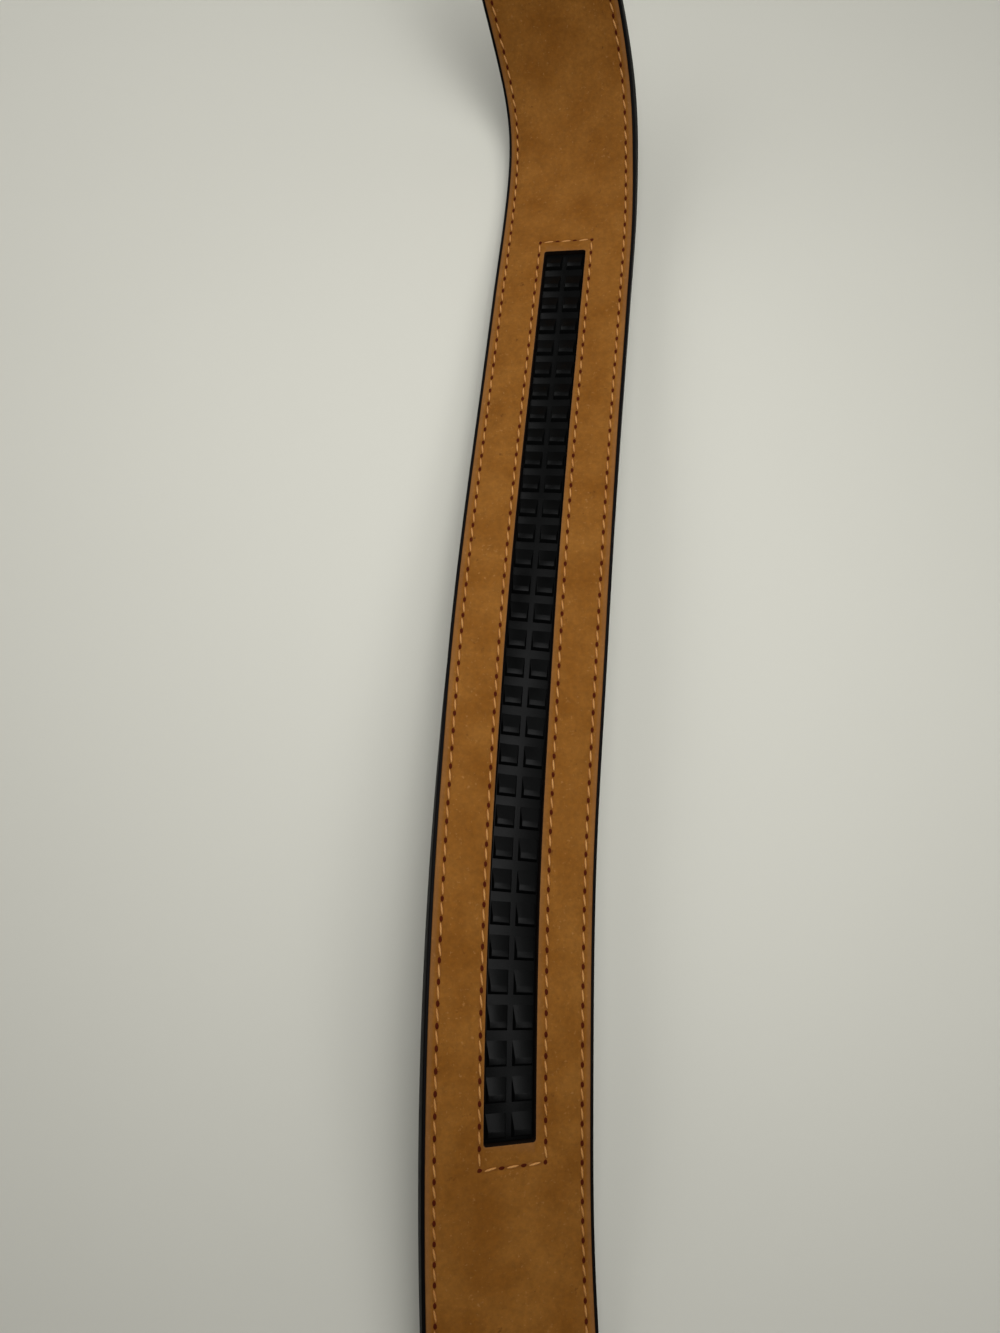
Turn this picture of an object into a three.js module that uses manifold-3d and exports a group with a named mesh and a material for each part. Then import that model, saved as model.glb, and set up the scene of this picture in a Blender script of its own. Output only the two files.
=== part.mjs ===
// Ratchet belt, 35 mm wide, lying lining side up. Millimetres, +Z up.
// The buckle is at the -Y end and the tip at the +Y end. Most of the strap lies flat;
// towards the tip it arches off the surface, twists a little and curls up.
import * as THREE from "three";
import { mergeVertices } from "three/addons/utils/BufferGeometryUtils.js";
import Module from "manifold-3d";

const wasm = await Module();
wasm.setup();

// Strap: two sewn layers, the outer leather below and the lining on top of it
const STRAP_LENGTH = 1200;
const STRAP_WIDTH = 35;
const OUTER_THICKNESS = 1.7;
const LINING_THICKNESS = 1.6;
const EDGE_RIM = 0.5;
const SEAT_GAP = 0.3;
const TIP_LENGTH = 20;
const TIP_ARC = 80;
const TIP_STEPS = 7;

// Track: a thin moulded base with rows of paired wedge teeth, seen through a slot in the lining
const TIP_TO_SLOT = 117;
const TOOTH_ROWS = 32;
const TOOTH_PITCH = 6.6;
const TOOTH_WIDTH = 4.3;
const TOOTH_HEIGHT = 0.9;
const TOOTH_GROOVE = 1;
const TOOTH_DRAFT = 0.4;
const RAMP_LENGTH = 3.1;
const CREST_LAND = 1.15;
const FACE_RUN = 0.5;
const FIRST_RAMP = 0.2;
const BASE_THICKNESS = 0.7;
const BASE_MARGIN = 0.1;
const SLOT_SIDE_GAP = 0.35;
const SLOT_END_GAP = 0.4;

// Buckle: a plate with two side walls, a back bridge and the jaw that grips the strap
const PLATE_LENGTH = 58;
const PLATE_THICKNESS = 2.2;
const PLATE_CORNER = 4;
const PLATE_BEVEL = 0.6;
const PLATE_OVERHANG = 0.8;
const WALL_THICKNESS = 1.8;
const WALL_INSET = 3;
const WALL_SLOPE = 5;
const SIDE_PLAY = 0.6;
const PASSAGE_PLAY = 1.8;
const BRIDGE_LENGTH = 12;
const BRIDGE_THICKNESS = 2;
const CLAMP_DEPTH = 15;
const JAW_THICKNESS = 1.6;

// Course of the strap: from the clamp it dips to the surface, lies flat, then lifts off
const DIP_LENGTH = 60;
const LIFTED_LENGTH = 445;
const ROW_STEP = 6;

// The lifted stretch, by shares of its length: degrees of slope (climbing towards the tip),
// turn (swinging to +X) and roll (the +X edge raised)
const LIFTED_COURSE = [
  { share: 0.0, slope: 0, turn: 0, roll: 0 },
  { share: 0.09, slope: 6.5, turn: 0, roll: -2.5 },
  { share: 0.17, slope: 9.5, turn: -2.5, roll: -12.5 },
  { share: 0.25, slope: 14.5, turn: 0, roll: -16.5 },
  { share: 0.34, slope: -1.5, turn: 2, roll: -16 },
  { share: 0.43, slope: -2.5, turn: 4.5, roll: -10.5 },
  { share: 0.52, slope: -4.5, turn: 5.5, roll: 1.5 },
  { share: 0.61, slope: -7, turn: 6, roll: 8 },
  { share: 0.69, slope: -4.5, turn: 6, roll: 9.5 },
  { share: 0.75, slope: -2, turn: 6, roll: 13 },
  { share: 0.81, slope: 16, turn: 0.5, roll: 23 },
  { share: 0.88, slope: 42, turn: -21, roll: 32.5 },
  { share: 1.0, slope: 42, turn: -21, roll: 32.5 },
];

// Sizes worked out from the ones above
const layerSeat = OUTER_THICKNESS + SEAT_GAP;
const strapThickness = layerSeat + LINING_THICKNESS;
const liftStart = STRAP_LENGTH - LIFTED_LENGTH;
const dipStart = CLAMP_DEPTH;
const dipEnd = dipStart + DIP_LENGTH;
const clampLift = PLATE_THICKNESS + SEAT_GAP;
const trackWidth = 2 * (TOOTH_WIDTH + BASE_MARGIN) + TOOTH_GROOVE;
const trackLength = TOOTH_ROWS * TOOTH_PITCH;
const slotWidth = trackWidth + 2 * SLOT_SIDE_GAP;
const slotEnd = STRAP_LENGTH - TIP_TO_SLOT;
const trackEnd = slotEnd - SLOT_END_GAP;
const trackStart = trackEnd - trackLength;
const slotStart = trackStart - SLOT_END_GAP;

// Smooth curve through the rows of the course, with level ends
function smoothRow(rows, key, share) {
  const next = Math.max(1, rows.findIndex((row) => row.share >= share));
  const [a, b] = [rows[next - 1], rows[next]];
  const grade = (i) =>
    i < 1 || i > rows.length - 2
      ? 0
      : (rows[i + 1][key] - rows[i - 1][key]) / (rows[i + 1].share - rows[i - 1].share);
  const span = b.share - a.share;
  const p = (share - a.share) / span;
  return (
    (1 + 2 * p) * (1 - p) ** 2 * a[key] +
    p * (1 - p) ** 2 * span * grade(next - 1) +
    p ** 2 * (3 - 2 * p) * b[key] +
    p ** 2 * (p - 1) * span * grade(next)
  );
}

// Slope, turn and roll of the strap, in radians, at a distance from the buckle end
function anglesAt(along) {
  if (along > liftStart) {
    const share = Math.min(1, (along - liftStart) / LIFTED_LENGTH);
    return ["slope", "turn", "roll"].map((key) =>
      THREE.MathUtils.degToRad(smoothRow(LIFTED_COURSE, key, share)),
    );
  }
  const inDip = along > dipStart && along < dipEnd;
  const wave = inDip ? 1 - Math.cos((2 * Math.PI * (along - dipStart)) / DIP_LENGTH) : 0;
  return [(-clampLift / DIP_LENGTH) * wave, 0, 0];
}

// Turn of the strap there: X runs across it, Y along it and Z out of the lining
function turnAt(along) {
  const [slope, turn, roll] = anglesAt(along);
  return new THREE.Matrix4().makeRotationFromEuler(new THREE.Euler(slope, -roll, -turn, "ZXY"));
}

// The underside's middle line, at each millimetre, starting where the strap lifts off the surface
function middleLine() {
  const line = { [Math.round(liftStart)]: new THREE.Vector3(0, liftStart, 0) };
  const step = (from, to) => {
    const ahead = new THREE.Vector3(0, to - from, 0).applyMatrix4(turnAt((from + to) / 2));
    line[to] = line[from].clone().add(ahead);
  };
  for (let i = Math.round(liftStart); i < STRAP_LENGTH + 1; i++) step(i, i + 1);
  for (let i = Math.round(liftStart); i > 0; i--) step(i, i - 1);
  return line;
}
const middle = middleLine();

// A point of the strap: along it, across it and above its underside
function onStrap(along, across, height) {
  const below = Math.floor(along);
  const place = middle[below].clone().lerp(middle[below + 1], along - below);
  return new THREE.Vector3(across, 0, height).applyMatrix4(turnAt(along)).add(place);
}

// A closed slab along the strap. Rows hold along and half (the half width), columns hold shares of
// the half width, and low and high give its two faces; a cell for which open is true is left out.
function slab(rows, columns, low, high, open = () => false) {
  const corners = [];
  rows.forEach((row, r) =>
    columns.forEach((column, c) => {
      const across = column * row.half;
      corners.push(onStrap(row.along, across, low(r, c)), onStrap(row.along, across, high(r, c)));
    }),
  );
  const filled = (r, c) =>
    r >= 0 && c >= 0 && r < rows.length - 1 && c < columns.length - 1 && !open(r, c);
  const corner = (r, c, top) => 2 * (r * columns.length + c) + top;
  const index = [];
  const quad = (a, b, c, d) => index.push(a, b, c, a, c, d);
  for (let r = 0; r < rows.length - 1; r++) {
    for (let c = 0; c < columns.length - 1; c++) {
      if (!filled(r, c)) continue;
      const ring = [[r, c], [r, c + 1], [r + 1, c + 1], [r + 1, c]];
      const beside = [[r - 1, c], [r, c + 1], [r + 1, c], [r, c - 1]];
      quad(...ring.map(([i, j]) => corner(i, j, 1)));
      quad(...[...ring].reverse().map(([i, j]) => corner(i, j, 0)));
      beside.forEach(([i, j], side) => {
        if (filled(i, j)) return;
        const [a, b] = [ring[side], ring[(side + 1) % 4]];
        quad(corner(...a, 0), corner(...b, 0), corner(...b, 1), corner(...a, 1));
      });
    }
  }
  const used = [...new Set(index)];
  const renumbered = new Map(used.map((old, i) => [old, i]));
  return new THREE.BufferGeometry()
    .setFromPoints(used.map((old) => corners[old]))
    .setIndex(index.map((old) => renumbered.get(old)));
}

// Rows of a strap layer that stops short of the cut edge by inset
function layerRows(inset) {
  const half = STRAP_WIDTH / 2 - inset;
  const tipStart = STRAP_LENGTH - TIP_LENGTH;
  const stops = [0, dipStart, dipEnd, liftStart, slotStart, slotEnd, tipStart];
  const rows = [{ along: 0, half }];
  stops.slice(1).forEach((to, i) => {
    const from = stops[i];
    const straight = to === dipStart || to === liftStart;
    const steps = straight ? 1 : Math.ceil((to - from) / ROW_STEP);
    for (let k = 1; k <= steps; k++) rows.push({ along: from + ((to - from) * k) / steps, half });
  });
  const lastAngle = THREE.MathUtils.degToRad(TIP_ARC);
  const reach = TIP_LENGTH / Math.sin(lastAngle) - inset;
  for (let k = 1; k <= TIP_STEPS; k++) {
    const angle = (lastAngle * k) / TIP_STEPS;
    rows.push({ along: tipStart + reach * Math.sin(angle), half: half * Math.cos(angle) });
  }
  return rows;
}

// Both layers have the same rows and columns, so that they bend alike
function layerColumns(inset) {
  const slotShare = slotWidth / (STRAP_WIDTH - 2 * inset);
  return [-1, -slotShare, slotShare, 1];
}

function strapOuter() {
  return slab(layerRows(0), layerColumns(0), () => 0, () => OUTER_THICKNESS);
}

function strapLining() {
  const rows = layerRows(EDGE_RIM);
  const inSlot = (r, c) => c === 1 && rows[r].along >= slotStart && rows[r].along < slotEnd;
  return slab(rows, layerColumns(EDGE_RIM), () => layerSeat, () => strapThickness, inSlot);
}

// Each tooth climbs towards the buckle and drops off steeply there
function ratchetTrack() {
  const half = trackWidth / 2;
  const rows = [{ along: trackStart, half, rise: 0 }];
  for (let i = TOOTH_ROWS - 1; i >= 0; i--) {
    const rampFoot = trackEnd - FIRST_RAMP - i * TOOTH_PITCH;
    const crestTop = rampFoot - RAMP_LENGTH;
    const crestEnd = crestTop - CREST_LAND;
    rows.push({ along: crestEnd - FACE_RUN, half, rise: 0 });
    rows.push({ along: crestEnd, half, rise: TOOTH_HEIGHT });
    rows.push({ along: crestTop, half, rise: TOOTH_HEIGHT });
    rows.push({ along: rampFoot, half, rise: 0 });
  }
  rows.push({ along: trackEnd, half, rise: 0 });
  const foot = TOOTH_GROOVE / 2;
  const side = [
    { across: foot, raised: 0 },
    { across: foot + TOOTH_DRAFT, raised: 1 },
    { across: foot + TOOTH_WIDTH - TOOTH_DRAFT, raised: 1 },
    { across: foot + TOOTH_WIDTH, raised: 0 },
    { across: half, raised: 0 },
  ];
  const mirrored = side.map(({ across, raised }) => ({ across: -across, raised })).reverse();
  const columns = [...mirrored, ...side];
  const top = layerSeat + BASE_THICKNESS;
  return slab(
    rows,
    columns.map(({ across }) => across / half),
    () => layerSeat,
    (r, c) => top + rows[r].rise * columns[c].raised,
  );
}

// The buckle's pieces are joined as solids
function solid(geometry) {
  const bare = geometry.clone();
  bare.deleteAttribute("normal");
  bare.deleteAttribute("uv");
  const merged = mergeVertices(bare);
  return new wasm.Manifold(
    new wasm.Mesh({
      numProp: 3,
      vertProperties: new Float32Array(merged.attributes.position.array),
      triVerts: new Uint32Array(merged.index.array),
    }),
  );
}

function geometryOf(body) {
  const { vertProperties, triVerts } = body.getMesh();
  return new THREE.BufferGeometry()
    .setAttribute("position", new THREE.BufferAttribute(vertProperties, 3))
    .setIndex(new THREE.BufferAttribute(triVerts, 1));
}

function block(width, y, z) {
  return new THREE.BoxGeometry(width, y.to - y.from, z.to - z.from).translate(
    0,
    (y.from + y.to) / 2,
    (z.from + z.to) / 2,
  );
}

// The strap's end is at y = 0 and the strap runs on to +Y
function buckle() {
  const passage = STRAP_WIDTH + 2 * SIDE_PLAY;
  const frameWidth = passage + 2 * WALL_THICKNESS;
  const plateHalf = frameWidth / 2 + PLATE_OVERHANG;
  const plateBack = CLAMP_DEPTH + PLATE_OVERHANG;
  const plateFront = plateBack - PLATE_LENGTH;
  const bridgeBottom = PLATE_THICKNESS + strapThickness + PASSAGE_PLAY;
  const bridgeTop = bridgeBottom + BRIDGE_THICKNESS;
  const jawBottom = clampLift + strapThickness + SEAT_GAP;
  const wallFront = plateFront + WALL_INSET;
  const rooted = PLATE_THICKNESS / 2;

  const [w, r] = [plateHalf - PLATE_BEVEL, PLATE_CORNER - PLATE_BEVEL];
  const [front, back] = [plateFront + PLATE_BEVEL, plateBack - PLATE_BEVEL];
  const outline = new THREE.Shape()
    .absarc(w - r, front + r, r, -Math.PI / 2, 0)
    .absarc(w - r, back - r, r, 0, Math.PI / 2)
    .absarc(r - w, back - r, r, Math.PI / 2, Math.PI)
    .absarc(r - w, front + r, r, Math.PI, 1.5 * Math.PI);
  const plate = new THREE.ExtrudeGeometry(outline, {
    depth: PLATE_THICKNESS - 2 * PLATE_BEVEL,
    bevelThickness: PLATE_BEVEL,
    bevelSize: PLATE_BEVEL,
    bevelSegments: 2,
    curveSegments: 5,
  }).translate(0, 0, PLATE_BEVEL);

  const wallOutline = new THREE.Shape()
    .moveTo(wallFront, rooted)
    .lineTo(CLAMP_DEPTH, rooted)
    .lineTo(CLAMP_DEPTH, jawBottom + JAW_THICKNESS)
    .lineTo(CLAMP_DEPTH - WALL_SLOPE, bridgeTop)
    .lineTo(wallFront + WALL_SLOPE, bridgeTop)
    .lineTo(wallFront, bridgeTop - WALL_SLOPE / 2);
  const sideways = new THREE.Matrix4().makeBasis(
    new THREE.Vector3(0, 1, 0),
    new THREE.Vector3(0, 0, 1),
    new THREE.Vector3(1, 0, 0),
  );
  const wall = new THREE.ExtrudeGeometry(wallOutline, {
    depth: WALL_THICKNESS,
    bevelEnabled: false,
  }).applyMatrix4(sideways);

  const bridge = block(
    frameWidth,
    { from: wallFront + WALL_SLOPE, to: wallFront + WALL_SLOPE + BRIDGE_LENGTH },
    { from: bridgeBottom, to: bridgeTop },
  );
  const jaw = block(
    frameWidth,
    { from: 0, to: CLAMP_DEPTH },
    { from: jawBottom, to: jawBottom + JAW_THICKNESS },
  );
  const body = [
    wall.clone().translate(passage / 2, 0, 0),
    wall.clone().translate(-passage / 2 - WALL_THICKNESS, 0, 0),
    bridge,
    jaw,
  ].reduce((joined, piece) => joined.add(solid(piece)), solid(plate));
  return geometryOf(body).translate(0, middle[0].y, 0);
}

const finishes = {
  blackLeather: { color: 0x17110d, roughness: 0.55, metalness: 0 },
  tanLining: { color: 0xb0773f, roughness: 0.9, metalness: 0 },
  blackPlastic: { color: 0x151515, roughness: 0.45, metalness: 0 },
  satinMetal: { color: 0x8f8d8a, roughness: 0.35, metalness: 1 },
};

function part(name, geometry, finish) {
  const shown = geometry.toNonIndexed();
  shown.computeVertexNormals();
  const mesh = new THREE.Mesh(shown, new THREE.MeshStandardMaterial(finishes[finish]));
  mesh.name = name;
  return mesh;
}

const belt = new THREE.Group();
belt.add(
  part("strap_outer", strapOuter(), "blackLeather"),
  part("strap_lining", strapLining(), "tanLining"),
  part("ratchet_track", ratchetTrack(), "blackPlastic"),
  part("buckle", buckle(), "satinMetal"),
);

// The origin is at the middle of the belt's box, on the surface that it lies on
const box = new THREE.Box3().setFromObject(belt);
const centre = box.getCenter(new THREE.Vector3());
belt.position.set(-centre.x, -centre.y, -box.min.z);

export default belt;
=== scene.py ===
import math
import random
from functools import lru_cache

import bmesh
import bpy
from mathutils import Matrix, Vector


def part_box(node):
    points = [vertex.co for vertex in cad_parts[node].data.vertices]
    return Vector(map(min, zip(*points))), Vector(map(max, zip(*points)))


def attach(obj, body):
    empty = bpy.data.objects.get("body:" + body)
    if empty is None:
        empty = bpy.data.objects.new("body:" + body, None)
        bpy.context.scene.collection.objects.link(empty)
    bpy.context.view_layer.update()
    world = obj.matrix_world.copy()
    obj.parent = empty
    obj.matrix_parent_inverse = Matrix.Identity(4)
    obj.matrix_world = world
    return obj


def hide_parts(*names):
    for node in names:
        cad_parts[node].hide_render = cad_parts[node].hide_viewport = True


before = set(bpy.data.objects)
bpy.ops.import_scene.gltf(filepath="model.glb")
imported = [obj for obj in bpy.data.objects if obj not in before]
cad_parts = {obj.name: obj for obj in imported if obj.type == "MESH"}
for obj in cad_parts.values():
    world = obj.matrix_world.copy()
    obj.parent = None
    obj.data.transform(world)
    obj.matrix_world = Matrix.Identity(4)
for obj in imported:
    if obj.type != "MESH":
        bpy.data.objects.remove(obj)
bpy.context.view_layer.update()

MM = 0.001
TINY = 0.01 * MM
SHARP_TURN = math.radians(50)

# Strap: outer leather with a painted edge, and the lining let into it. "Along" is the distance
# from the buckle end, "across" runs to the +X edge and "height" up from the underside.
STRAP_LENGTH = 1200 * MM
STRAP_WIDTH = 35 * MM
STRAP_THICKNESS = 3.6 * MM
OUTER_THICKNESS = 1.75 * MM
EDGE_HEIGHT = 3.5 * MM
EDGE_ROUND = 0.28 * MM
FACE_ROUND = 0.7 * MM
EDGE_RIM = 0.68 * MM
LINING_GAP = 0.03 * MM
LINING_ROUND = 0.3 * MM
TIP_LENGTH = 20 * MM
TIP_ARC = math.radians(80)
TIP_STEPS = 10
ROW_STEP = 3 * MM

# Slot in the lining and the moulded track in it, whose last band, towards the buckle, is cut short
TIP_TO_SLOT = 117 * MM
SLOT_WIDTH = 10.5 * MM
SLOT_CORNER = 0.6 * MM
CUT_ROUND = 0.12 * MM
TRACK_WIDTH = 9.8 * MM
TRACK_SEAT = 2 * MM
BASE_THICKNESS = 0.7 * MM
TOOTH_ROWS = 32
TOOTH_PITCH = 6.6 * MM
TOOTH_WIDTH = 4.3 * MM
TOOTH_HEIGHT = 0.9 * MM
TOOTH_GROOVE = 1 * MM
TOOTH_DRAFT = 0.4 * MM
TOOTH_ROUND = 0.1 * MM
TOOTH_SUNK = 0.15 * MM
RAMP_LENGTH = 3.1 * MM
CREST_LAND = 1.15 * MM
FACE_RUN = 0.5 * MM
FIRST_RAMP = 0.2 * MM
SLOT_END_GAP = 0.4 * MM
LAST_BAND_CUT = 1.1 * MM

# Seams: a line along both edges and round the tip, and a frame round the slot
SEAM_INSET = 2.5 * MM
SEAM_START = 4 * MM
EDGE_STITCH = 3.85 * MM
FRAME_SIDE = 1.5 * MM
FRAME_END = 3.2 * MM
FRAME_SKEW = 0.65 * MM
FRAME_MARGIN = 4 * MM
FRAME_STITCH = 4.05 * MM
FRAME_STEPS = 8
GROOVE_HALF = 0.6 * MM
GROOVE_DEPTH = 0.15 * MM
THREAD_WIDTH = 0.46 * MM
THREAD_LENGTH = 2.45 * MM
THREAD_HEIGHT = 0.42 * MM
THREAD_LIFT = 0.06 * MM
THREAD_SLANT = math.radians(8)
THREAD_SWAY = math.radians(3)
THREAD_TWIST = 0.55 * MM
HOLE_LENGTH = 1.25 * MM
HOLE_WIDTH = 0.9 * MM
HOLE_CROWN = 0.12 * MM
HOLE_LIFT = 0.02 * MM

# Buckle, in the strap's own terms: along from its end, height from the surface it lies on
PLATE_LENGTH = 58 * MM
PLATE_WIDTH = 41.4 * MM
PLATE_THICKNESS = 2.2 * MM
PLATE_CORNER = 4 * MM
PLATE_ROUND = 0.6 * MM
PLATE_BACK = 15.8 * MM
PASSAGE_WIDTH = 36.2 * MM
PASSAGE_TOP = 7.6 * MM
WALL_THICKNESS = 1.8 * MM
WALL_INSET = 3 * MM
WALL_SLOPE = 5 * MM
BRIDGE_LENGTH = 12 * MM
BRIDGE_THICKNESS = 2 * MM
CLAMP_DEPTH = 15 * MM
JAW_BOTTOM = 6.4 * MM
JAW_THICKNESS = 1.6 * MM
METAL_ROUND = 0.35 * MM

# Course: from the clamp the strap dips to the surface, lies flat, then lifts off towards the tip.
# Shares of the lifted length; degrees of slope, turn to +X, and roll that raises the +X edge.
CLAMP_LIFT = 2.5 * MM
DIP_LENGTH = 60 * MM
LIFTED_LENGTH = 445 * MM
LIFTED_COURSE = [
    {"share": 0.0, "slope": 0, "turn": 0, "roll": 0},
    {"share": 0.09, "slope": 6.5, "turn": 0, "roll": -2.5},
    {"share": 0.17, "slope": 9.5, "turn": -2.5, "roll": -12.5},
    {"share": 0.25, "slope": 14.5, "turn": 0, "roll": -16.5},
    {"share": 0.34, "slope": -1.5, "turn": 2, "roll": -16},
    {"share": 0.43, "slope": -2.5, "turn": 4.5, "roll": -10.5},
    {"share": 0.52, "slope": -4.5, "turn": 5.5, "roll": 1.5},
    {"share": 0.61, "slope": -7, "turn": 6, "roll": 8},
    {"share": 0.69, "slope": -4.5, "turn": 6, "roll": 9.5},
    {"share": 0.75, "slope": -2, "turn": 6, "roll": 13},
    {"share": 0.81, "slope": 16, "turn": 0.5, "roll": 23},
    {"share": 0.88, "slope": 42, "turn": -21, "roll": 32.5},
    {"share": 1.0, "slope": 42, "turn": -21, "roll": 32.5},
]

# Worked out from the sizes above. The tip follows an ellipse that would reach out by TIP_REACH.
LINING_INSET = EDGE_RIM + LINING_GAP
LINING_THICKNESS = STRAP_THICKNESS - OUTER_THICKNESS - LINING_GAP
TIP_START = STRAP_LENGTH - TIP_LENGTH
TIP_REACH = TIP_LENGTH / math.sin(TIP_ARC)
LIFT_START = STRAP_LENGTH - LIFTED_LENGTH
DIP_START = CLAMP_DEPTH
DIP_END = DIP_START + DIP_LENGTH
SLOT_END = STRAP_LENGTH - TIP_TO_SLOT
TRACK_END = SLOT_END - SLOT_END_GAP
TRACK_START = TRACK_END - TOOTH_ROWS * TOOTH_PITCH + LAST_BAND_CUT
SLOT_START = TRACK_START - SLOT_END_GAP
SEAM_ACROSS = STRAP_WIDTH / 2 - SEAM_INSET
FRAME_ACROSS = SLOT_WIDTH / 2 + FRAME_SIDE
FRAME_START = SLOT_START - LAST_BAND_CUT - FRAME_END
FRAME_STOP = SLOT_END + FRAME_END

# Floor and light: the room's own light is dim beside the softboxes
FLOOR_SIZE = 8000 * MM
ROOM_LIGHT = 0.12

# Sockets of a Mix node that mixes colours, and the width of a wave texture's bands at scale 1
FACTOR, FIRST, SECOND, MIXED = 0, 6, 7, 2
WAVE_BAND = 2 * math.pi / 10


def smooth_row(key, share):
    """A value of the lifted course, on a smooth curve through its rows with level ends."""
    rows = LIFTED_COURSE
    after = max(1, next(i for i, row in enumerate(rows) if row["share"] >= share))
    a, b = rows[after - 1], rows[after]

    def grade(i):
        if i < 1 or i > len(rows) - 2:
            return 0
        low, high = rows[i - 1], rows[i + 1]
        return (high[key] - low[key]) / (high["share"] - low["share"])

    span = b["share"] - a["share"]
    p = (share - a["share"]) / span
    return (
        (1 + 2 * p) * (1 - p) ** 2 * a[key]
        + p * (1 - p) ** 2 * span * grade(after - 1)
        + p**2 * (3 - 2 * p) * b[key]
        + p**2 * (p - 1) * span * grade(after)
    )


@lru_cache(maxsize=None)
def turn_at(along):
    """The strap's turn: X runs across it, Y along it and Z out of the lining."""
    slope, turn, roll = 0, 0, 0
    if along > LIFT_START:
        share = min(1, (along - LIFT_START) / LIFTED_LENGTH)
        slope, turn, roll = (math.radians(smooth_row(key, share)) for key in ("slope", "turn", "roll"))
    elif DIP_START < along < DIP_END:
        wave = 1 - math.cos(2 * math.pi * (along - DIP_START) / DIP_LENGTH)
        slope = -CLAMP_LIFT / DIP_LENGTH * wave
    swing = Matrix.Rotation(-turn, 3, "Z")
    return swing @ Matrix.Rotation(slope, 3, "X") @ Matrix.Rotation(-roll, 3, "Y")


def middle_line():
    """The underside's middle line at each millimetre, with its place taken from the buckle's."""
    lift = round(LIFT_START / MM)
    points = {lift: Vector((0, LIFT_START, 0))}
    for i in range(lift, round(STRAP_LENGTH / MM) + 2):
        points[i + 1] = points[i] + turn_at((i + 0.5) * MM) @ Vector((0, MM, 0))
    for i in range(lift, 0, -1):
        points[i - 1] = points[i] - turn_at((i - 0.5) * MM) @ Vector((0, MM, 0))
    low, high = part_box("buckle")
    plate_front = PLATE_BACK - PLATE_LENGTH
    shift = Vector(((low.x + high.x) / 2, low.y - plate_front - points[0].y, 0))
    return [points[i] + shift for i in range(len(points))]


middle = middle_line()


def on_strap(across, along, height):
    """A point of the strap as it lies."""
    below = max(0, math.floor(along / MM))
    place = middle[below].lerp(middle[below + 1], along / MM - below)
    return turn_at(along) @ Vector((across, 0, height)) + place


def everywhere(part):
    return True


def deselect():
    """Leaves edit mode, with no object selected."""
    if bpy.context.object and bpy.context.object.mode != "OBJECT":
        bpy.ops.object.mode_set(mode="OBJECT")
    bpy.ops.object.select_all(action="DESELECT")


def activate(piece):
    """Makes a piece the only one that operators act on."""
    deselect()
    piece.select_set(True)
    bpy.context.view_layer.objects.active = piece


def start_piece(name, primitive, stretch=(1, 1, 1), **settings):
    """Adds a primitive at its size and place, and opens it in edit mode."""
    deselect()
    primitive(**settings)
    piece = bpy.context.object
    piece.name = piece.data.name = name
    piece.scale = stretch
    bpy.ops.object.transform_apply(location=True, rotation=True, scale=True)
    bpy.ops.object.mode_set(mode="EDIT")
    return piece


def start_block(name, low, high):
    """A block between two corners, opened in edit mode."""
    centre = [(a + b) / 2 for a, b in zip(low, high)]
    stretch = [b - a for a, b in zip(low, high)]
    return start_piece(name, bpy.ops.mesh.primitive_cube_add, stretch, size=1, location=centre)


def pick(piece, kind, test=everywhere):
    """Selects just the vertices, edges or faces that pass a test."""
    bpy.ops.mesh.select_mode(type=kind)
    bpy.ops.mesh.select_all(action="DESELECT")
    mesh = bmesh.from_edit_mesh(piece.data)
    parts = {"VERT": mesh.verts, "EDGE": mesh.edges, "FACE": mesh.faces}[kind]
    parts.index_update()
    for part in [part for part in parts if test(part)]:
        part.select_set(True)
    bmesh.update_edit_mesh(piece.data)


def pick_sharp(piece, test=everywhere):
    """Selects the sharp edges whose ends both pass a test."""
    pick(
        piece,
        "EDGE",
        lambda edge: len(edge.link_faces) == 2
        and edge.calc_face_angle() > SHARP_TURN
        and all(test(vert.co) for vert in edge.verts),
    )


def cut(piece, places, normal, test=everywhere):
    """Cuts the faces that pass a test at each place along a normal."""
    for place in places:
        pick(piece, "FACE", test)
        at = [place * axis for axis in normal]
        bpy.ops.mesh.bisect(plane_co=at, plane_no=normal, threshold=TINY)


def move_picked(across=0, along=0, height=0):
    bpy.ops.transform.translate(value=(across, along, height))


def apply_modifier(piece, kind, **settings):
    """Applies a modifier and opens the piece in edit mode again."""
    activate(piece)
    modifier = piece.modifiers.new(kind.title(), kind)
    for name, value in settings.items():
        setattr(modifier, name, value)
    bpy.ops.object.modifier_apply(modifier=modifier.name)
    bpy.ops.object.mode_set(mode="EDIT")


def face_outwards(piece):
    pick(piece, "FACE")
    bpy.ops.mesh.normals_make_consistent(inside=False)


def join(pieces):
    activate(pieces[0])
    for piece in pieces:
        piece.select_set(True)
    bpy.ops.object.join()
    return pieces[0]


def finish_faces(piece, materials, angle=35):
    """Smooths a piece and gives it its materials, each with a test for its faces."""
    activate(piece)
    bpy.ops.object.shade_smooth_by_angle(angle=math.radians(angle))
    piece.data.materials.clear()
    for slot, (material, test) in enumerate(materials):
        piece.data.materials.append(material)
        for face in piece.data.polygons:
            if test(face):
                face.material_index = slot


def lay(piece):
    """Bends a straight piece to the strap's course."""
    deselect()
    for vertex in piece.data.vertices:
        vertex.co = on_strap(*vertex.co)


def belongs(piece, slot, *nodes):
    """Attaches a piece to the root body and hides the solids it stands for. The slot, which of the part's
    materials it is made of, is not used.
    """
    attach(piece, "root")
    if nodes:
        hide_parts(*nodes)


def linear(colour):
    """An sRGB hex colour as linear red, green, blue and alpha."""
    channels = [int(colour[i : i + 2], 16) / 255 for i in (1, 3, 5)]
    return [c / 12.92 if c <= 0.04045 else ((c + 0.055) / 1.055) ** 2.4 for c in channels] + [1]


def per(size):
    """The scale of a pattern whose grains are this large."""
    return 1 / size


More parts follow.
